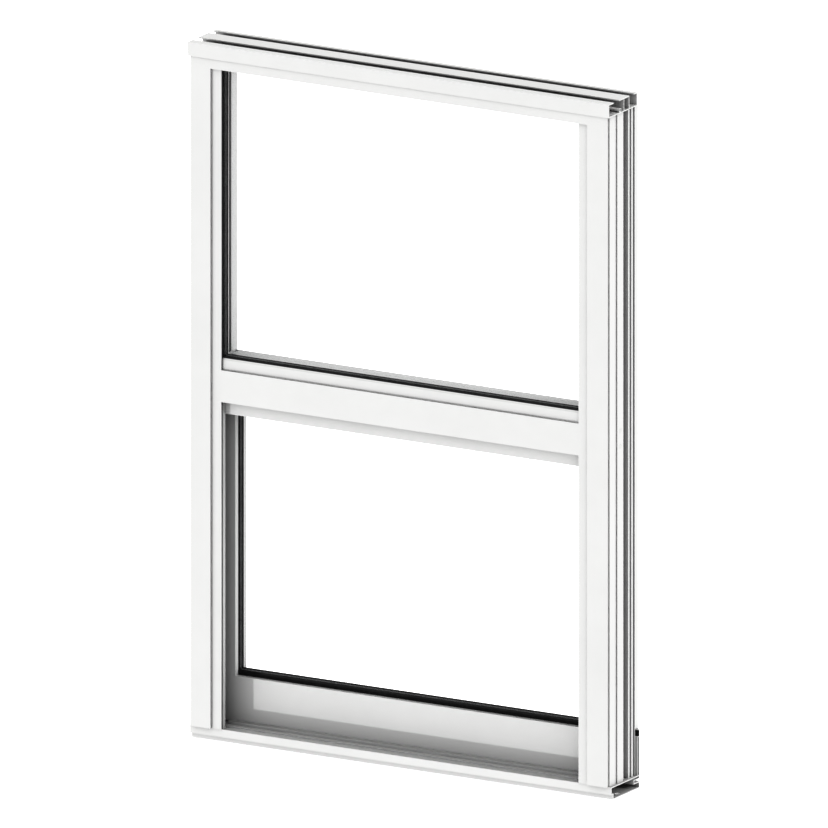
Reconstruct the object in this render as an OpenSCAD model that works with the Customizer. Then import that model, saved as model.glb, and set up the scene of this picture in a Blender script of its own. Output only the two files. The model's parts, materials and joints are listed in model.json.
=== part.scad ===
// Single-hung sash window in white aluminium extrusions, with its frame.
// X runs along the width, -Y is the outdoor side, Z is up.
// The origin is the centre of the bounding box's base.
// Inside the modules, depth is counted from the jambs' outdoor face.

/* [Window] */
// Width over the two jambs
width = 800; // [500:5:1200]
// Height from the base of the sill to the top of the head
height = 1200; // [1000:5:1600]
// Depth of the jambs
frame_d = 104; // [104:1:116]
// Height of the middle of the meeting rail's face above the base
rail_mid_z = 614; // [480:1:760]
// How far the lower sash lifts
lift = 460; // [200:5:520]

/* [Extrusions] */
// Thickness of the extrusion walls
wall = 2; // [1.6:0.1:2.4]
// How far the head and the sill run past each jamb
end_over = 4.5; // [0:0.5:8]
// Clearance of pieces that slide
slide_gap = 0.5; // [0.3:0.1:1]
// Clearance left between a seal and the face it brushes
seal_gap = 0.3; // [0.2:0.1:0.5]

/* [Head] */
// Height of the head
head_h = 23.6; // [20:0.2:30]
// Depth of the head
head_d = 95.2; // [94:0.2:100]
// How far the head's face stands in front of the jambs
head_proud = 2; // [0:0.5:4]
// Depth of the front lip
head_front_lip = 17; // [12:0.5:20]
// Depth from the head's face to the middle web
head_web_at = 35.6; // [32:0.2:38]
// Depth of the middle web
head_web_d = 33.4; // [28:0.2:36]
// Depth of the back lip
head_back_lip = 10.3; // [8:0.1:12]
// Height of the adapter strip under the head
adapter_h = 17.4; // [14:0.2:22]

/* [Sill] */
// Height of the sill's box
sill_h = 22.5; // [18:0.5:30]
// Depth of the sill
sill_d = 94.5; // [92:0.5:96]
// How far the sill's face stands behind the jambs' face
sill_set = 6.3; // [2:0.1:8]
// Height of the sill's drip edge above the base
drip_z = 8.7; // [6:0.1:10]
// How far the foot of the sill stands behind its face
foot_set = 6; // [4:0.5:10]
// Height of the indoor upstand above the sill
upstand_h = 79.5; // [60:0.5:90]
// Depth of the indoor upstand
upstand_d = 6.8; // [6:0.1:8]
// Rise of each of the two track steps
step_rise = 2.5; // [1.5:0.1:3]
// Distance of the track steps' ends from the jambs' outer faces
step_end = 47; // [40:1:60]

/* [Jambs] */
// Width of the outdoor flange
flange_w = 38.5; // [34:0.5:44]
// How far the inner band steps back from the flange
band_set = 4; // [2:0.5:5]
// Width from the outer face to the sight edge of the band
sight_w = 57; // [54:0.5:62]
// Width from the outer face to the sash track
track_x = 30; // [28:0.5:32]
// Depth of the glazing pocket's indoor wall
pocket_end = 30; // [28:0.5:32]
// Depth of the shallow grooves in the outer faces
groove_shallow = 2; // [1.5:0.5:4]
// Depth of the deep grooves in the outer faces
groove_deep = 10; // [8:0.5:11]

/* [Meeting rail] */
// Height of the meeting rail's face
rail_h = 55; // [45:1:70]
// Drop of the weather leg below the face
rail_leg_h = 23; // [16:1:28]
// Depth of the weather leg's face
rail_leg_at = 18; // [16:0.5:20]
// Height of the glazing strip above the face
strip_h = 20.4; // [16:0.2:24]
// Depth of the glazing strip's face
strip_at = 8; // [6:0.5:8.5]

/* [Glazing] */
// Thickness of each pane
pane_t = 3; // [3:0.5:4]
// Gap between the two panes
cavity = 8; // [6:1:9]
// Depth of the fixed glass's outdoor face
fixed_glass_at = 11; // [10.5:0.5:12]
// Cover of the glass by its frame
glass_cover = 9; // [7:0.5:9]
// How far gaskets and spacer show past the sides and the top of the opening
seal_show = 0.5; // [0:0.5:4]
// How far they show above the strip under the fixed glass
seal_show_low = 3; // [2:0.5:5]
// Thickness of the indoor gaskets
inner_seal_t = 1.5; // [1:0.1:2]

/* [Sash] */
// Depth of the sash's outdoor face
sash_at = 55; // [55:0.5:57]
// Depth of the sash's section
sash_d = 37; // [36:0.5:37]
// Distance of the stiles from the sash track
stile_gap = 3.5; // [3:0.5:5]
// Width of the stiles
stile_w = 21; // [20:0.5:24]
// Depth of the outdoor lip in front of the glass
sash_lip_d = 10; // [8:0.5:11]
// Height of the lips that cover the glass
sash_lip_h = 11; // [10:0.5:12]
// Height of the bottom rail
bottom_rail_h = 77.5; // [60:0.5:90]
// Height of the top rail
top_rail_h = 54.3; // [50:0.1:60]
// Gap under the closed sash
sash_floor_gap = 3; // [2:0.5:4]
// How far the top of the sash stands above the meeting rail's face
sash_over_rail = 12.8; // [10:0.2:16]
// How far the black seal shows above the bottom rail
sash_seal_show = 9; // [3:0.5:10]

/* [Balances and guides] */
// Outer radius of the balance tubes
tube_r = 5; // [4.5:0.1:5.3]
// Wall of the balance tubes
tube_wall = 0.8; // [0.5:0.1:1]
// Width of the twisted balance strip
strip_w = 6; // [5:0.5:6.5]
// Height of the lower guides
guide_h = 18; // [12:1:24]

/* [Latches and pull] */
// Travel of each latch bolt
bolt_travel = 8; // [6:0.5:9]
// Height of the latch bolts
bolt_h = 10; // [8:0.5:12]
// Width of the pull bar
pull_w = 140; // [80:5:200]

/* [Screws] */
// Radius of the screws' shanks
screw_r = 1.9; // [1.7:0.1:2.1]
// Radius of the screws' heads
screw_head_r = 3.4; // [3:0.1:3.6]

/* [Hidden] */
$fn = 48;
fit = 0.2;
bound_d = max(frame_d, head_d - head_proud, sill_set + sill_d) + head_proud;
front_y = head_proud - bound_d / 2;

half_w = width / 2;
jamb_z = sill_h;
jamb_top = height - head_h;
adapter_z = jamb_top - adapter_h;
rail_z = rail_mid_z - rail_h / 2;
rail_top = rail_mid_z + rail_h / 2;
strip_top = rail_top + strip_h;
skin = 1.6;
seal_slot_z = sill_h + upstand_h - 12;
band_back = band_set + wall;

// Outer face of the jamb: faces and grooves, as depths
groove_1 = [wall, 8.5];
groove_2 = [27.3, 34.2];
groove_3 = [54.8, 70.5];
groove_4 = [75.5, 81];
groove_5 = [86.4, 92];

// Depths of the two track steps on the sill
steps = [[24, 34], [42, 54]];

// Balance channel in the jamb, open to the sash
chan_x = 14;
chan = [58, 90];
chan_w = track_x - chan_x - 2 * wall;
chan_mouth = [64, 84];
tube_at = [21.3, 65.3];

// Glass units
unit_t = 2 * pane_t + cavity;
fixed_inner = fixed_glass_at + unit_t;
bead_at = fixed_inner + inner_seal_t;
seat_at = bead_at + 4;
glass_x = half_w - sight_w;
fixed_glass_top = adapter_z + glass_cover;
fixed_glass_z = strip_top - glass_cover;

// Sash
rail_back = sash_at - 5;
sash_back = sash_at + sash_d;
stile_x = half_w - track_x - stile_gap;
stile_in = stile_x - stile_w;
sash_z = sill_h + sash_floor_gap;
sash_top = rail_top + sash_over_rail;
sash_glass_z = sash_z + bottom_rail_h;
sash_glass_top = sash_top - top_rail_h;
lip_back = sash_at + sash_lip_d;
sash_glass_at = lip_back + inner_seal_t;
sash_glass_in = sash_glass_at + unit_t;
sash_bead_at = sash_glass_in + inner_seal_t;
pocket_x = stile_in + sash_lip_h;

// Balance strip: thickness, and degrees of twist a millimetre
strip_t = 1.2;
strip_twist = 4.5;

// Latch
bolt_z = sash_glass_top + sash_lip_h + wall + 2;
bolt_at = [74, 80];
bolt_len = 60;
knob_x = stile_x - 46;
knob_r = 4;
keeper_z = bolt_z + bolt_h + slide_gap;
keeper_h = 8;
guide_top_z = keeper_z + keeper_h + 3;
stop_z = sash_top + lift + 1;

// Screw places
flute_r = 4;
jamb_flutes = [20, 44.3];
jamb_flute_x = 6;
rail_flutes = [rail_z + 14, rail_top - 14];
rail_flute_at = rail_back - wall - flute_r + 0.5;
sash_flute_at = sash_at + wall + flute_r - 0.5;
top_flutes = [sash_top - 9, sash_glass_top + sash_lip_h + 7];
bottom_flutes = [sash_z + 12, sash_glass_z - sash_lip_h - 12];
access_r = screw_head_r + 1;

white = [0.95, 0.95, 0.95];
black = [0.06, 0.06, 0.06];
steel = [0.7, 0.7, 0.72];
grey = [0.45, 0.45, 0.46];
glass = [0.8, 0.9, 0.92, 0.35];

// ---- helpers ----

// A box of the section, from corner a to corner b
module block(a, b) {
    translate(a) square(b - a);
}

// Runs a section drawn in depth and height along X, between two ends
module run_x(x0, x1) {
    translate([x0, 0, 0]) rotate([90, 0, 90]) linear_extrude(x1 - x0) children();
}

// Runs a section drawn in X and depth up Z
module run_z(z0, z1) {
    translate([0, 0, z0]) linear_extrude(z1 - z0) children();
}

// Moves the depths counted from the jambs' face into the part's frame
module placed() {
    translate([0, front_y, 0]) children();
}

// The right piece as drawn, or its mirror image on the left
module side(right) {
    placed() mirror([right ? 0 : 1, 0, 0]) children();
}

module both_sides() {
    placed() {
        children();
        mirror([1, 0, 0]) children();
    }
}

// A slotted screw flute; the slot points along the turn
module flute(at, turn) {
    translate(at) rotate(turn) difference() {
        circle(flute_r);
        circle(screw_r + fit);
        translate([0, -screw_r / 2]) square([flute_r + 1, screw_r]);
    }
}

// A hollow box of the section
module tube_box(a, b) {
    difference() {
        block(a, b);
        block(a + [wall, wall], b - [wall, wall]);
    }
}

// A pan-head screw along +Z, its head's seat at zero
module screw(len) {
    cylinder(r = screw_r, h = len);
    translate([0, 0, -2.2]) cylinder(r = screw_head_r, h = 2.2);
}

// A rectangular ring of the elevation, between an outer and an inner size
module ring(x, z0, z1, show_x, show_z0, show_z1) {
    difference() {
        block([-x, z0], [x, z1]);
        block([-show_x, show_z0], [show_x, show_z1]);
    }
}

// Stands an elevation drawn in X and Z up at a depth
module upright(at, t) {
    translate([0, at + t, 0]) rotate([90, 0, 0]) linear_extrude(t) children();
}

// Four gasket strips around an opening, cut square at the corners
module gasket_set(x_out, x_in, z0_out, z0_in, z1_in, z1_out, at, t) {
    for (m = [0, 1]) mirror([m, 0, 0])
        upright(at, t) block([x_in, z0_in + fit], [x_out, z1_in - fit]);
    upright(at, t) block([-x_out, z0_out], [x_out, z0_in]);
    upright(at, t) block([-x_out, z1_in], [x_out, z1_out]);
}

// ---- frame ----

module head_section() {
    top = head_h - wall;
    web_end = head_web_at + head_web_d;
    block([0, 0], [head_d, wall]);
    block([0, 0], [wall, head_h]);
    block([0, top], [head_front_lip, head_h]);
    block([head_d - wall, 0], [head_d, head_h]);
    block([head_d - head_back_lip, top], [head_d, head_h]);
    block([head_web_at, top], [web_end, head_h]);
    block([web_end - 19, 0], [web_end - 19 + wall, head_h]);
    block([web_end - wall, 0], [web_end, head_h]);
    flute([head_web_at + 2.5, wall + flute_r - 0.5], 90);
}

module head() {
    color(white) placed() difference() {
        translate([0, -head_proud, jamb_top])
            run_x(-half_w - end_over, half_w + end_over) head_section();
        for (m = [0, 1], d = jamb_flutes) mirror([m, 0, 0])
            translate([half_w - jamb_flute_x, d, jamb_top - 1])
                cylinder(r = screw_r + fit, h = wall + 2);
    }
}

module sill_section() {
    top = sill_h - wall;
    pocket = sill_d - 20;
    pocket_z = drip_z + 3.3;
    step = drip_z + wall;
    block([0, drip_z], [wall, sill_h]);
    block([0, top], [sill_d, sill_h]);
    block([0, drip_z], [foot_set + wall, step]);
    block([foot_set, 0], [foot_set + wall, step]);
    block([foot_set, 0], [sill_d, wall]);
    // pocket open to the indoor side, under the top plate
    block([sill_d - wall, 0], [sill_d, pocket_z]);
    block([pocket, pocket_z - wall], [sill_d, pocket_z]);
    block([pocket, pocket_z - wall], [pocket + wall, pocket_z + 4 + wall]);
    block([pocket, pocket_z + 4], [sill_d, pocket_z + 4 + wall]);
    block([sill_d - wall, pocket_z + 4], [sill_d, sill_h]);
    // upstand: two skins, tied at the foot and under the seal's slot
    up = sill_d - upstand_d;
    end = sill_h + upstand_h;
    block([up, sill_h - wall], [up + skin, seal_slot_z]);
    block([sill_d - skin, sill_h - wall], [sill_d, end]);
    block([up, seal_slot_z - skin], [sill_d, seal_slot_z]);
    block([up + 2, end - skin], [sill_d, end]);
}

// Two raised track steps on top of the sill, between the jambs
module sill_steps() {
    for (i = [0, 1])
        block([steps[i][0] - sill_set, sill_h - wall],
            [steps[i][1] - sill_set, sill_h + (i + 1) * step_rise]);
}

module sill() {
    color(white) placed() difference() {
        translate([0, sill_set, 0]) union() {
            run_x(-half_w - end_over, half_w + end_over) sill_section();
            run_x(step_end - half_w, half_w - step_end) sill_steps();
        }
        for (m = [0, 1]) mirror([m, 0, 0]) {
            for (d = jamb_flutes) translate([half_w - jamb_flute_x, d, -1]) {
                cylinder(r = screw_r + fit, h = sill_h + 2);
                cylinder(r = access_r, h = wall + 2);
            }
        }
    }
}

// A groove bent into the outer wall: its floor and its two sides
module groove(span, deep) {
    block([-deep - wall, span[0] - wall], [-deep, span[1] + wall]);
    block([-deep - wall, span[0] - wall], [0, span[0]]);
    block([-deep - wall, span[1]], [0, span[1] + wall]);
}

// Section of the right jamb; zero is its outer face and inwards is negative
module jamb_section() {
    // outdoor flange, step and band
    block([-flange_w, 0], [0, wall]);
    block([-flange_w, 0], [-flange_w + wall, band_back]);
    block([-sight_w, band_set], [-flange_w + wall, band_back]);
    // glazing pocket and the screen track's front
    block([-flange_w, band_set], [-flange_w + wall, pocket_end]);
    block([-flange_w, pocket_end - wall], [-track_x + wall, pocket_end]);
    // outer wall with its grooves
    block([-groove_shallow - wall, 0], [-groove_shallow, groove_1[1] + wall]);
    block([-groove_shallow - wall, groove_1[1]], [0, groove_1[1] + wall]);
    block([-wall, groove_1[1]], [0, groove_2[0]]);
    groove(groove_2, groove_shallow);
    block([-wall, groove_2[1]], [0, groove_3[0]]);
    groove(groove_3, groove_deep);
    block([-wall, groove_3[1]], [0, groove_4[0]]);
    groove(groove_4, groove_shallow * 2);
    block([-wall, groove_4[1]], [0, groove_5[0]]);
    groove(groove_5, groove_deep);
    block([-wall, groove_5[1]], [0, frame_d]);
    // back wall and track wall
    block([-track_x, frame_d - wall], [0, frame_d]);
    block([-track_x, pocket_end - wall], [-track_x + wall, chan_mouth[0]]);
    block([-track_x, chan_mouth[1]], [-track_x + wall, frame_d]);
    // balance channel
    block([-chan_x - wall, chan[0]], [-chan_x, chan[1]]);
    block([-track_x, chan[0]], [-chan_x, chan[0] + wall]);
    block([-track_x, chan[1] - wall], [-chan_x, chan[1]]);
    // fin for the pile seal
    block([-track_x - 6, sash_at - 5], [-track_x + wall, sash_at - 3]);
    for (d = jamb_flutes) {
        flute([-jamb_flute_x, d], 180);
        block([-wall - 1, d - 1.5], [-wall + 0.5, d + 1.5]);
    }
}

module jamb() {
    color(white) difference() {
        translate([half_w, 0, 0]) run_z(jamb_z, jamb_top) jamb_section();
        // notch around the sill's upstand
        translate([half_w - track_x - 1, sill_set + sill_d - upstand_d - fit, jamb_z - 1])
            cube([track_x + 2, upstand_d + 2 * fit, upstand_h + fit + 1]);
        // holes that reach the meeting rail's screws
        for (z = rail_flutes) translate([half_w - track_x - 1, rail_flute_at, z])
            rotate([0, 90, 0]) {
                cylinder(r = screw_r + fit, h = track_x + 2);
                translate([0, 0, track_x / 2]) cylinder(r = access_r, h = track_x);
            }
    }
}

module rail_section() {
    front = band_set;
    web = rail_leg_at;
    tube_box([front, rail_z], [rail_back, rail_top]);
    block([web, rail_z - rail_leg_h], [web + wall, rail_top]);
    // seat for the glass and the indoor bead
    block([seat_at, rail_top - wall], [seat_at + wall, strip_top]);
    // interlock leg
    block([rail_back - wall, rail_top - wall], [rail_back, rail_top + 8]);
    for (z = rail_flutes) flute([rail_flute_at, z], 180);
}

// The rail is coped: short between the bands, long between the tracks
module meeting_rail() {
    long = half_w - track_x;
    short = half_w - sight_w;
    color(white) placed() difference() {
        run_x(-long, long) rail_section();
        for (m = [0, 1]) mirror([m, 0, 0])
            translate([short, -1, rail_z - rail_leg_h - 1])
                cube([long - short + 1, pocket_end + fit + 1, rail_h + rail_leg_h + strip_h + 2]);
    }
}

// Strip that fills the front of the glazing pocket under the head
module head_adapter() {
    band = half_w - flange_w;
    color(white) placed() difference() {
        run_x(-band, band) {
            tube_box([0, adapter_z], [band_back, jamb_top]);
            block([0, jamb_top - wall], [seat_at + wall, jamb_top]);
            block([seat_at, jamb_top - 8], [seat_at + wall, jamb_top]);
        }
        for (m = [0, 1]) mirror([m, 0, 0]) translate([glass_x, band_set, adapter_z - 1])
            cube([band, frame_d, adapter_h + 2]);
    }
}

// Outdoor glazing strip on the meeting rail, with a bevelled top edge
module glazing_strip() {
    back = strip_at + 1.5;
    color(white) placed() run_x(-glass_x, glass_x) polygon([
        [strip_at, rail_top], [back, rail_top], [back, strip_top],
        [back - 0.4, strip_top], [strip_at, strip_top - 3.5]
    ]);
}

module fixed_pane(at) {
    edge = glass_x + glass_cover;
    color(glass) placed() upright(at, pane_t) block([-edge, fixed_glass_z], [edge, fixed_glass_top]);
}

module fixed_spacer() {
    edge = glass_x + glass_cover - 1;
    show = glass_x - seal_show;
    color(black) placed() upright(fixed_glass_at + pane_t, cavity)
        ring(edge, fixed_glass_z + 1, fixed_glass_top - 1, show, strip_top + seal_show_low,
            adapter_z - seal_show);
}

module fixed_outer_gaskets() {
    out = glass_x + glass_cover - 1;
    in = glass_x - seal_show;
    t = fixed_glass_at - band_back;
    low = strip_at + 1.5;
    color(black) placed() {
        for (m = [0, 1]) mirror([m, 0, 0])
            upright(band_back, t) block([in, strip_top], [out, adapter_z - seal_show]);
        upright(band_back, t) block([-out, adapter_z - seal_show], [out, fixed_glass_top - 1]);
        upright(low, fixed_glass_at - low) block([-in, fixed_glass_z + 1], [in, strip_top + seal_show_low]);
    }
}

module fixed_inner_gaskets() {
    color(black) placed() gasket_set(glass_x + glass_cover - 1, glass_x - seal_show,
        fixed_glass_z + 1, strip_top + seal_show_low, adapter_z - seal_show, fixed_glass_top - 1,
        fixed_inner, inner_seal_t);
}

module fixed_side_bead() {
    color(white) translate([glass_x, 0, 0]) run_z(strip_top, jamb_top - wall)
        block([0, bead_at], [sight_w - flange_w, pocket_end]);
}

module fixed_top_bead() {
    color(white) placed() run_x(-glass_x + fit, glass_x - fit)
        block([bead_at, adapter_z], [seat_at, jamb_top - wall]);
}

module fixed_bottom_bead() {
    color(white) placed() run_x(-glass_x, glass_x)
        block([bead_at, rail_top], [seat_at, strip_top]);
}

module fixed_setting_blocks() {
    color(black) both_sides() translate([glass_x * 0.6, fixed_glass_at, rail_top])
        cube([40, unit_t, fixed_glass_z - rail_top]);
}

// Snap-in cover over the glazing pocket beside the lower opening
module pocket_cover() {
    front = band_back + 4;
    back = rail_leg_at - fit;
    color(white) translate([half_w, 0, 0]) run_z(jamb_z, rail_z) {
        block([-sight_w, front], [-sight_w + 1.5, back]);
        block([-sight_w, back - 1.5], [-flange_w, back]);
    }
}

// Balance tube with a bush at its foot and a hanging lug at its head
module balance_tube() {
    foot = tube_foot();
    head = jamb_top - 8;
    color(steel) translate([half_w - tube_at[0], tube_at[1], 0]) {
        translate([0, 0, foot]) difference() {
            cylinder(r = tube_r, h = head - foot);
            translate([0, 0, 8]) cylinder(r = tube_r - tube_wall, h = head - foot);
            translate([0, 0, -1]) cylinder(r = strip_w / 2 + 0.4, h = 10);
        }
        translate([tube_r - 1.5, -3, head - 12]) cube([tube_at[0] - chan_x - wall - tube_r + 1.5, 6, 12]);
    }
}

function bracket_top() = sash_z + 12;
function tube_foot() = bracket_top() + lift + 14;

module stop_block() {
    color(grey) translate([half_w - track_x + wall + slide_gap, chan_mouth[0] + 9, stop_z])
        cube([chan_w - slide_gap, chan[1] - wall - chan_mouth[0] - 9 - fit, 18]);
}

module keeper() {
    color(steel) translate([half_w - track_x + slide_gap, bolt_at[0] - 1, keeper_z])
        cube([chan_w + wall - slide_gap, bolt_at[1] - bolt_at[0] + 2, keeper_h]);
}

module jamb_pile_seals() {
    color(grey) both_sides()
        translate([half_w - track_x - 6, sash_at - 3, jamb_z + step_rise])
            cube([5, 3 - seal_gap, sash_top - jamb_z - step_rise]);
}

module rail_pile_seal() {
    color(grey) placed() translate([-glass_x, rail_back, rail_z + 25])
        cube([2 * glass_x, sash_at - rail_back - seal_gap, 6]);
}

// Bulb seal in the slot at the top of the upstand
module sill_bulb_seal() {
    back = sill_set + sill_d - skin;
    color(black) placed() run_x(-half_w + track_x + 1, half_w - track_x - 1)
        block([sash_back + seal_gap, seal_slot_z], [back, seal_slot_z + 9]);
    color(black) placed() run_x(-half_w - end_over, half_w + end_over)
        block([back - 3, seal_slot_z], [back, seal_slot_z + 9]);
}

module head_screws() {
    color(steel) both_sides() for (d = jamb_flutes)
        translate([half_w - jamb_flute_x, d, jamb_top + wall]) mirror([0, 0, 1]) screw(25);
}

// Flush plugs over the holes that reach the meeting rail's screws
module jamb_plugs() {
    color(white) both_sides() for (z = rail_flutes)
        translate([half_w - wall, rail_flute_at, z]) rotate([0, 90, 0])
            cylinder(r = access_r - 0.05, h = wall);
}

module sill_screws() {
    color(steel) both_sides() for (d = jamb_flutes)
        translate([half_w - jamb_flute_x, d, sill_h - wall]) screw(25);
}

module rail_screws() {
    color(steel) both_sides() for (z = rail_flutes)
        translate([half_w - track_x + wall, rail_flute_at, z]) rotate([0, -90, 0]) screw(25);
}

// ---- sash ----

module stile_section() {
    lip = stile_in + sash_lip_h + wall;
    tube_box([pocket_x, sash_at], [stile_x, sash_back]);
    tube_box([stile_in, sash_at], [lip, lip_back]);
}

module stile() {
    color(white) difference() {
        run_z(sash_z, sash_top) stile_section();
        for (z = concat(top_flutes, bottom_flutes))
            translate([stile_in - 1, sash_flute_at, z]) rotate([0, 90, 0])
                cylinder(r = screw_r + fit, h = stile_w + 2);
        translate([stile_in, bolt_at[0] - slide_gap, bolt_z - slide_gap])
            cube([stile_w + 1, bolt_at[1] - bolt_at[0] + 2 * slide_gap, bolt_h + 2 * slide_gap]);
    }
}

module sash_flutes(places) {
    for (z = places) flute([sash_flute_at, z], 0);
}

// A rail is coped: short in front of the glass, long behind it
module coped_rail() {
    placed() difference() {
        run_x(-pocket_x, pocket_x) children();
        for (m = [0, 1]) mirror([m, 0, 0]) translate([stile_in, sash_at - 20, 0])
            cube([sash_lip_h + 1, 20 + sash_lip_d, height]);
    }
}

module top_rail() {
    shelf = sash_glass_top + sash_lip_h;
    color(white) difference() {
        coped_rail() {
            tube_box([sash_at, shelf], [sash_back, sash_top]);
            tube_box([sash_at, sash_glass_top], [lip_back, shelf + wall]);
            sash_flutes(top_flutes);
            // interlock hook over the meeting rail's leg
            block([rail_back - 6, sash_top - wall], [sash_at + 1, sash_top]);
            block([rail_back - 6, sash_top - 9], [rail_back - 4.5, sash_top]);
        }
        both_sides() translate([knob_x - 16, sash_back - wall - 1, bolt_z - 1])
            cube([40, wall + 2, bolt_h + 2]);
        both_sides() translate([pull_w / 2 - 10, sash_back + 1, pull_screw_z()])
            rotate([90, 0, 0]) cylinder(r = screw_r + fit, h = wall + 2);
    }
}

module bottom_rail() {
    shelf = sash_glass_z - sash_lip_h;
    color(white) coped_rail() {
        tube_box([sash_at, sash_z], [sash_back, shelf]);
        tube_box([sash_at, shelf - wall], [lip_back, sash_glass_z]);
        sash_flutes(bottom_flutes);
    }
}

module sash_pane(at) {
    edge = stile_in + glass_cover;
    color(glass) placed() upright(at, pane_t)
        block([-edge, sash_glass_z - glass_cover], [edge, sash_glass_top + glass_cover]);
}

module sash_spacer() {
    color(black) placed() upright(sash_glass_at + pane_t, cavity)
        ring(stile_in + glass_cover - 1, sash_glass_z - glass_cover + 1,
            sash_glass_top + glass_cover - 1, stile_in - seal_show,
            sash_glass_z + sash_seal_show - 1, sash_glass_top - seal_show);
}

module sash_gaskets(at) {
    color(black) placed() gasket_set(stile_in + glass_cover - 1, stile_in - seal_show,
        sash_glass_z - glass_cover + 1, sash_glass_z + sash_seal_show,
        sash_glass_top - seal_show, sash_glass_top + glass_cover - 1, at, inner_seal_t);
}

module sash_side_bead() {
    color(white) translate([stile_in, 0, 0])
        run_z(sash_glass_z - sash_lip_h, sash_glass_top + sash_lip_h)
            block([0, sash_bead_at], [sash_lip_h, sash_back]);
}

module sash_level_bead(z) {
    color(white) placed() run_x(-stile_in, stile_in)
        block([sash_bead_at, z], [sash_back, z + sash_lip_h]);
}

module sash_setting_blocks() {
    shelf = sash_glass_z - sash_lip_h;
    color(black) both_sides() translate([stile_in * 0.6, sash_glass_at, shelf])
        cube([40, unit_t, sash_lip_h - glass_cover]);
}

module sash_floor_seal() {
    color(black) placed() translate([-stile_in, sash_at + 15, sill_h + seal_gap])
        cube([2 * stile_in, 8, sash_floor_gap - seal_gap]);
}

module sash_screws() {
    color(steel) both_sides() for (z = concat(top_flutes, bottom_flutes))
        translate([stile_x, sash_flute_at, z]) rotate([0, -90, 0]) screw(stile_w + 18);
}

// Nylon guides with heads that run behind the channel's indoor lip
module guides() {
    head_x = half_w - track_x + wall + slide_gap;
    neck = [bolt_at[0], chan_mouth[1] - 1];
    for (span = [[sash_z + 22, sash_z + 22 + guide_h], [guide_top_z, sash_top - 1]])
        color(grey) run_z(span[0], span[1]) {
            block([stile_x, neck[0]], [head_x + 1, neck[1]]);
            block([head_x, neck[0]], [head_x + 9, chan[1] - wall - 1]);
        }
}

// Twisted steel strip that turns in the tube's bush
module balance_rod() {
    length = tube_foot() + 30 - bracket_top();
    color(steel) translate([half_w - tube_at[0], tube_at[1], bracket_top()])
        linear_extrude(length, twist = length * strip_twist, slices = 150, $fn = 8)
            square([strip_w, strip_t], center = true);
}

module rod_bracket() {
    mouth = chan_mouth[0] + slide_gap;
    color(steel) translate([stile_x, mouth, bracket_top() - 6])
        cube([half_w - tube_at[0] + 3.5 - stile_x, 5, 6]);
}

module latch_case() {
    slot_x = [knob_x - knob_r - 1, knob_x + knob_r + bolt_travel + 1];
    color(grey) difference() {
        union() {
            translate([knob_x - 16 + fit, bolt_at[1] + seal_gap, bolt_z - 1 + fit])
                cube([40 - 2 * fit, sash_back - bolt_at[1], bolt_h + 2 - 2 * fit]);
            translate([knob_x - 20, sash_back, bolt_z - 2.5]) cube([48, 2.5, bolt_h + 5]);
        }
        translate([slot_x[0], bolt_at[1], bolt_z + 0.5])
            cube([slot_x[1] - slot_x[0], sash_d, bolt_h - 1]);
    }
}

module latch_bolt() {
    tip = stile_x - 1;
    color(steel) translate([tip - bolt_len, bolt_at[0], bolt_z])
        cube([bolt_len, bolt_at[1] - bolt_at[0], bolt_h]);
    color(white) translate([knob_x, sash_back + 8, bolt_z + bolt_h / 2]) rotate([90, 0, 0])
        cylinder(r = knob_r, h = sash_back + 8 - bolt_at[1] + 1);
}

function pull_screw_z() = bolt_z + bolt_h + 12;

module pull_bar() {
    z = pull_screw_z();
    color(white) placed() difference() {
        run_x(-pull_w / 2, pull_w / 2) {
            block([sash_back, z - 9], [sash_back + wall, z + 8]);
            block([sash_back, z - 9], [sash_back + 9, z - 9 + wall]);
            block([sash_back + 9 - wall, z - 11], [sash_back + 9, z - 9 + wall]);
        }
        for (m = [0, 1]) mirror([m, 0, 0]) translate([pull_w / 2 - 10, sash_back + wall + 1, z])
            rotate([90, 0, 0]) cylinder(r = screw_r + fit, h = wall + 2);
    }
}

module pull_screws() {
    color(steel) both_sides()
        translate([pull_w / 2 - 10, sash_back + wall, pull_screw_z()]) rotate([90, 0, 0]) screw(12);
}

head();
sill();
side(false) jamb();  // left_jamb
side(true) jamb();  // right_jamb
meeting_rail();
head_adapter();
glazing_strip();
fixed_pane(fixed_glass_at);  // fixed_outer_pane
fixed_pane(fixed_inner - pane_t);  // fixed_inner_pane
fixed_spacer();
fixed_outer_gaskets();
fixed_inner_gaskets();
side(false) fixed_side_bead();  // fixed_left_bead
side(true) fixed_side_bead();  // fixed_right_bead
fixed_top_bead();
fixed_bottom_bead();
fixed_setting_blocks();
side(false) pocket_cover();  // left_pocket_cover
side(true) pocket_cover();  // right_pocket_cover
side(false) balance_tube();  // left_balance_tube
side(true) balance_tube();  // right_balance_tube
side(false) stop_block();  // left_stop
side(true) stop_block();  // right_stop
side(false) keeper();  // left_keeper
side(true) keeper();  // right_keeper
jamb_pile_seals();
rail_pile_seal();
sill_bulb_seal();
head_screws();
sill_screws();
rail_screws();
jamb_plugs();
side(false) stile();  // left_stile
side(true) stile();  // right_stile
top_rail();
bottom_rail();
sash_pane(sash_glass_at);  // sash_outer_pane
sash_pane(sash_glass_in - pane_t);  // sash_inner_pane
sash_spacer();
sash_gaskets(lip_back);  // sash_outer_gaskets
sash_gaskets(sash_glass_in);  // sash_inner_gaskets
side(false) sash_side_bead();  // sash_left_bead
side(true) sash_side_bead();  // sash_right_bead
sash_level_bead(sash_glass_top);  // sash_top_bead
sash_level_bead(sash_glass_z - sash_lip_h);  // sash_bottom_bead
sash_setting_blocks();
sash_floor_seal();
sash_screws();
side(false) guides();  // left_guides
side(true) guides();  // right_guides
side(false) balance_rod();  // left_balance_rod
side(true) balance_rod();  // right_balance_rod
side(false) rod_bracket();  // left_rod_bracket
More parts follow.
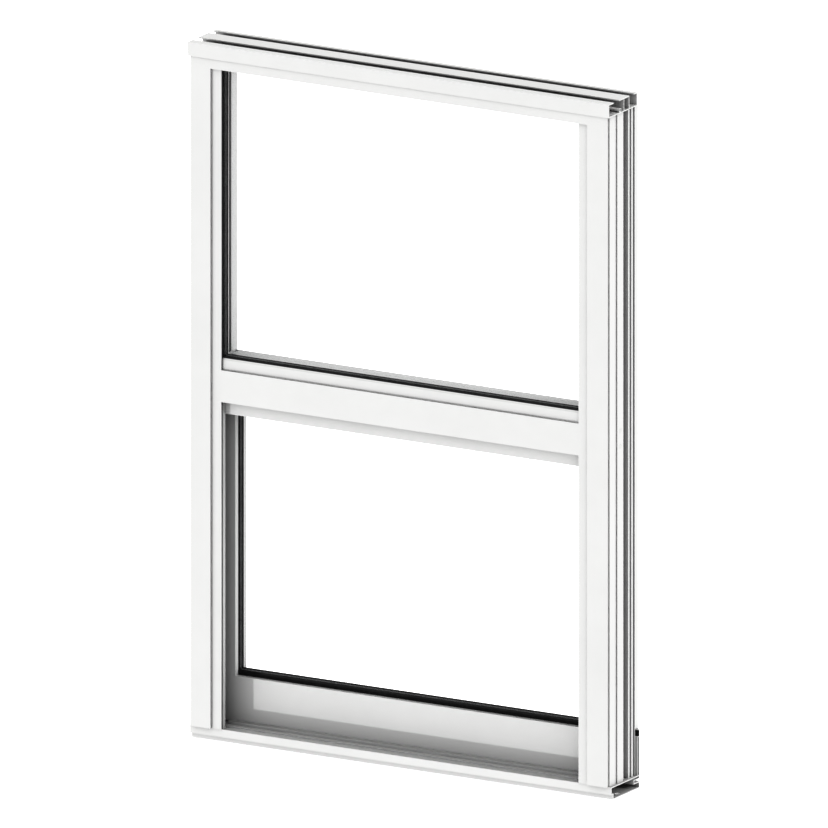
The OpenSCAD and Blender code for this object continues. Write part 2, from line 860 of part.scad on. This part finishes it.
side(true) rod_bracket();  // right_rod_bracket
side(false) latch_case();  // left_latch_case
side(true) latch_case();  // right_latch_case
side(false) latch_bolt();  // left_latch_bolt
side(true) latch_bolt();  // right_latch_bolt
pull_bar();
pull_screws();
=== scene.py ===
import json
import math

import bpy
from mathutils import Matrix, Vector

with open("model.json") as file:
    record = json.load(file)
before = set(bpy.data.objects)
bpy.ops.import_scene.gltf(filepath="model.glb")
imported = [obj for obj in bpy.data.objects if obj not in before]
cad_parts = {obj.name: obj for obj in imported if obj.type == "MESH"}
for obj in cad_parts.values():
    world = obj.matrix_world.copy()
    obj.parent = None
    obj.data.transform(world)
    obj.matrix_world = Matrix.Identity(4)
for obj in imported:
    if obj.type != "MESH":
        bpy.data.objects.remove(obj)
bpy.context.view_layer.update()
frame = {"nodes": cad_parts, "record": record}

scene = bpy.context.scene
nodes = frame["nodes"]
slots = {s["node"]: s["material_slot"] for s in frame["record"]["subparts"]}


# ---- materials ----

# The part of the noise's range that colours and roughness spread over
NOISE_LOW, NOISE_HIGH = 0.3, 0.7


def shader(name):
    """A new node material: (material, node tree, its Principled shader)."""
    made = bpy.data.materials.new(name)
    made.use_nodes = True
    return made, made.node_tree, made.node_tree.nodes["Principled BSDF"]


def noise(tree, scale, detail=2.0, stretch=(1, 1, 1)):
    """Noise over the object's own coordinates, in metres."""
    where = tree.nodes.new("ShaderNodeTexCoord")
    mapping = tree.nodes.new("ShaderNodeMapping")
    mapping.inputs["Scale"].default_value = stretch
    made = tree.nodes.new("ShaderNodeTexNoise")
    made.inputs["Scale"].default_value = scale
    made.inputs["Detail"].default_value = detail
    tree.links.new(where.outputs["Object"], mapping.inputs["Vector"])
    tree.links.new(mapping.outputs["Vector"], made.inputs["Vector"])
    return made


def colour_from(tree, source, low, high, socket):
    """The source's value picks a colour between low and high."""
    ramp = tree.nodes.new("ShaderNodeValToRGB")
    ramp.color_ramp.elements[0].position = NOISE_LOW
    ramp.color_ramp.elements[1].position = NOISE_HIGH
    ramp.color_ramp.elements[0].color = (*low, 1)
    ramp.color_ramp.elements[1].color = (*high, 1)
    tree.links.new(source.outputs["Fac"], ramp.inputs["Fac"])
    tree.links.new(ramp.outputs["Color"], socket)


def range_from(tree, source, low, high, socket):
    """The source's value, mapped to low..high."""
    mapped = tree.nodes.new("ShaderNodeMapRange")
    mapped.inputs["From Min"].default_value = NOISE_LOW
    mapped.inputs["From Max"].default_value = NOISE_HIGH
    mapped.inputs["To Min"].default_value = low
    mapped.inputs["To Max"].default_value = high
    tree.links.new(source.outputs["Fac"], mapped.inputs["Value"])
    tree.links.new(mapped.outputs["Result"], socket)


def bump_from(tree, source, strength, distance, socket):
    """The source's value raises the surface by up to a distance in metres."""
    made = tree.nodes.new("ShaderNodeBump")
    made.inputs["Strength"].default_value = strength
    made.inputs["Distance"].default_value = distance
    tree.links.new(source.outputs["Fac"], made.inputs["Height"])
    tree.links.new(made.outputs["Normal"], socket)


def coated(name, low, high, rough):
    """Powder coat: an even satin white with a fine orange peel."""
    made, tree, bsdf = shader(name)
    colour_from(tree, noise(tree, 6.0, 3.0), low, high, bsdf.inputs["Base Color"])
    range_from(tree, noise(tree, 40.0, 3.0), rough - 0.04, rough + 0.04, bsdf.inputs["Roughness"])
    bump_from(tree, noise(tree, 900.0, 2.0), 0.12, 0.00004, bsdf.inputs["Normal"])
    bsdf.inputs["Specular IOR Level"].default_value = 0.4
    return made


def rubber(name, low, high):
    """Gasket rubber: matte, with a fine even speckle and bump."""
    made, tree, bsdf = shader(name)
    colour_from(tree, noise(tree, 120.0, 3.0), low, high, bsdf.inputs["Base Color"])
    range_from(tree, noise(tree, 300.0, 3.0), 0.5, 0.66, bsdf.inputs["Roughness"])
    bump_from(tree, noise(tree, 1500.0, 2.0), 0.25, 0.00005, bsdf.inputs["Normal"])
    bsdf.inputs["Specular IOR Level"].default_value = 0.45
    return made


def metal(name, low, high):
    """Zinc-plated steel, brushed along Z."""
    made, tree, bsdf = shader(name)
    grain = noise(tree, 900.0, 3.0, (1, 1, 0.04))
    colour_from(tree, noise(tree, 90.0, 3.0), low, high, bsdf.inputs["Base Color"])
    range_from(tree, grain, 0.26, 0.42, bsdf.inputs["Roughness"])
    bump_from(tree, grain, 0.15, 0.00005, bsdf.inputs["Normal"])
    bsdf.inputs["Metallic"].default_value = 1.0
    return made


def plastic(name, low, high, rough):
    """Moulded plastic with a light texture."""
    made, tree, bsdf = shader(name)
    colour_from(tree, noise(tree, 60.0, 3.0), low, high, bsdf.inputs["Base Color"])
    range_from(tree, noise(tree, 200.0, 3.0), rough - 0.05, rough + 0.05, bsdf.inputs["Roughness"])
    bump_from(tree, noise(tree, 2200.0, 2.0), 0.2, 0.00005, bsdf.inputs["Normal"])
    return made


def pile(name, low, high):
    """Woven pile: short upright fibres."""
    made, tree, bsdf = shader(name)
    fibres = noise(tree, 2600.0, 3.0, (1, 0.15, 1))
    colour_from(tree, fibres, low, high, bsdf.inputs["Base Color"])
    bump_from(tree, fibres, 0.8, 0.0004, bsdf.inputs["Normal"])
    bsdf.inputs["Roughness"].default_value = 0.9
    bsdf.inputs["Sheen Weight"].default_value = 0.3
    return made


def pane(name):
    """Clear float glass, nearly unseen face on, with a faint ripple."""
    made, tree, bsdf = shader(name)
    colour_from(tree, noise(tree, 4.0), (0.90, 0.93, 0.925), (0.93, 0.955, 0.95),
                bsdf.inputs["Base Color"])
    bump_from(tree, noise(tree, 12.0), 0.05, 0.0003, bsdf.inputs["Normal"])
    bsdf.inputs["Roughness"].default_value = 0.03
    bsdf.inputs["Alpha"].default_value = 0.03
    made.surface_render_method = "BLENDED"
    return made


looks = {
    "white_coat": coated("white_coat", (0.845, 0.845, 0.84), (0.865, 0.865, 0.86), 0.42),
    "glass": pane("glass"),
    "black_rubber": rubber("black_rubber", (0.012, 0.012, 0.013), (0.028, 0.028, 0.029)),
    "steel": metal("steel", (0.55, 0.55, 0.57), (0.68, 0.68, 0.69)),
    "nylon": plastic("nylon", (0.27, 0.27, 0.28), (0.34, 0.34, 0.35), 0.5),
    "pile": pile("pile", (0.16, 0.16, 0.165), (0.34, 0.34, 0.35)),
    "spacer": plastic("spacer", (0.05, 0.05, 0.052), (0.085, 0.085, 0.088), 0.45),
    "white_plastic": plastic("white_plastic", (0.80, 0.80, 0.79), (0.84, 0.84, 0.83), 0.3),
}

for name, obj in nodes.items():
    obj.data.materials.clear()
    obj.data.materials.append(looks[slots[name]])


# ---- studio ----

# The camera: parallel, with its aim point, its distance from it and the width it sees, in metres
AIM = Vector((0, 0, 0.6012))
AZIMUTH, ELEVATION = math.radians(30), math.radians(15)
DISTANCE = 6
VIEW_WIDTH = 1.3772
CLIP_END = 50
# Strengths of the studio's even light, of its backdrop and of the floor's own light
STUDIO_LIGHT = 0.88
BACKDROP = 1.3
FLOOR_LIGHT = 0.9
VIEW_GAMMA = 0.6
FLOOR_HALF = 20

back = Vector((
    math.sin(AZIMUTH) * math.cos(ELEVATION),
    -math.cos(AZIMUTH) * math.cos(ELEVATION),
    math.sin(ELEVATION),
))
camera = bpy.data.objects.new("camera", bpy.data.cameras.new("camera"))
camera.data.type = "ORTHO"
camera.data.ortho_scale = VIEW_WIDTH
camera.data.clip_end = CLIP_END
camera.location = AIM + back * DISTANCE
camera.rotation_mode = "QUATERNION"
camera.rotation_quaternion = (-back).to_track_quat("-Z", "Y")
scene.collection.objects.link(camera)
scene.camera = camera


def sun(name, energy, spread, travel):
    """A sun lamp whose light travels along a direction; spread is its softness in degrees."""
    lamp = bpy.data.objects.new(name, bpy.data.lights.new(name, "SUN"))
    lamp.data.energy = energy
    lamp.data.angle = math.radians(spread)
    lamp.rotation_mode = "QUATERNION"
    lamp.rotation_quaternion = Vector(travel).to_track_quat("-Z", "Y")
    scene.collection.objects.link(lamp)


sun("key", 0.7, 2, (0.637, 1, 0.575))
sun("fill", 0.9, 15, (-0.9, -0.14, -0.5))


def backdrop(tree, strength):
    """A plain white background shader."""
    made = tree.nodes.new("ShaderNodeBackground")
    made.inputs["Color"].default_value = (1, 1, 1, 1)
    made.inputs["Strength"].default_value = strength
    return made


# An even white studio; its backdrop is a little brighter than the light it gives
world = bpy.data.worlds.new("studio")
world.use_nodes = True
tree = world.node_tree
tree.nodes.remove(tree.nodes["Background"])
seen = tree.nodes.new("ShaderNodeLightPath")
mix = tree.nodes.new("ShaderNodeMixShader")
tree.links.new(seen.outputs["Is Camera Ray"], mix.inputs[0])
tree.links.new(backdrop(tree, STUDIO_LIGHT).outputs[0], mix.inputs[1])
tree.links.new(backdrop(tree, BACKDROP).outputs[0], mix.inputs[2])
tree.links.new(mix.outputs[0], tree.nodes["World Output"].inputs[0])
scene.world = world
scene.view_settings.view_transform = "Standard"
scene.view_settings.gamma = VIEW_GAMMA
scene.cycles.diffuse_bounces = 0

mesh = bpy.data.meshes.new("floor")
corners = [(-1, -1), (1, -1), (1, 1), (-1, 1)]
mesh.from_pydata([(x * FLOOR_HALF, y * FLOOR_HALF, 0) for x, y in corners], [], [(0, 1, 2, 3)])
floor = bpy.data.objects.new("floor", mesh)
made, tree, bsdf = shader("floor")
colour_from(tree, noise(tree, 3.0), (0.90, 0.90, 0.90), (0.92, 0.92, 0.92), bsdf.inputs["Base Color"])
bsdf.inputs["Roughness"].default_value = 0.9
bsdf.inputs["Emission Color"].default_value = (1, 1, 1, 1)
bsdf.inputs["Emission Strength"].default_value = FLOOR_LIGHT
mesh.materials.append(made)
floor.visible_shadow = False
floor.visible_diffuse = False
floor.visible_glossy = False
scene.collection.objects.link(floor)
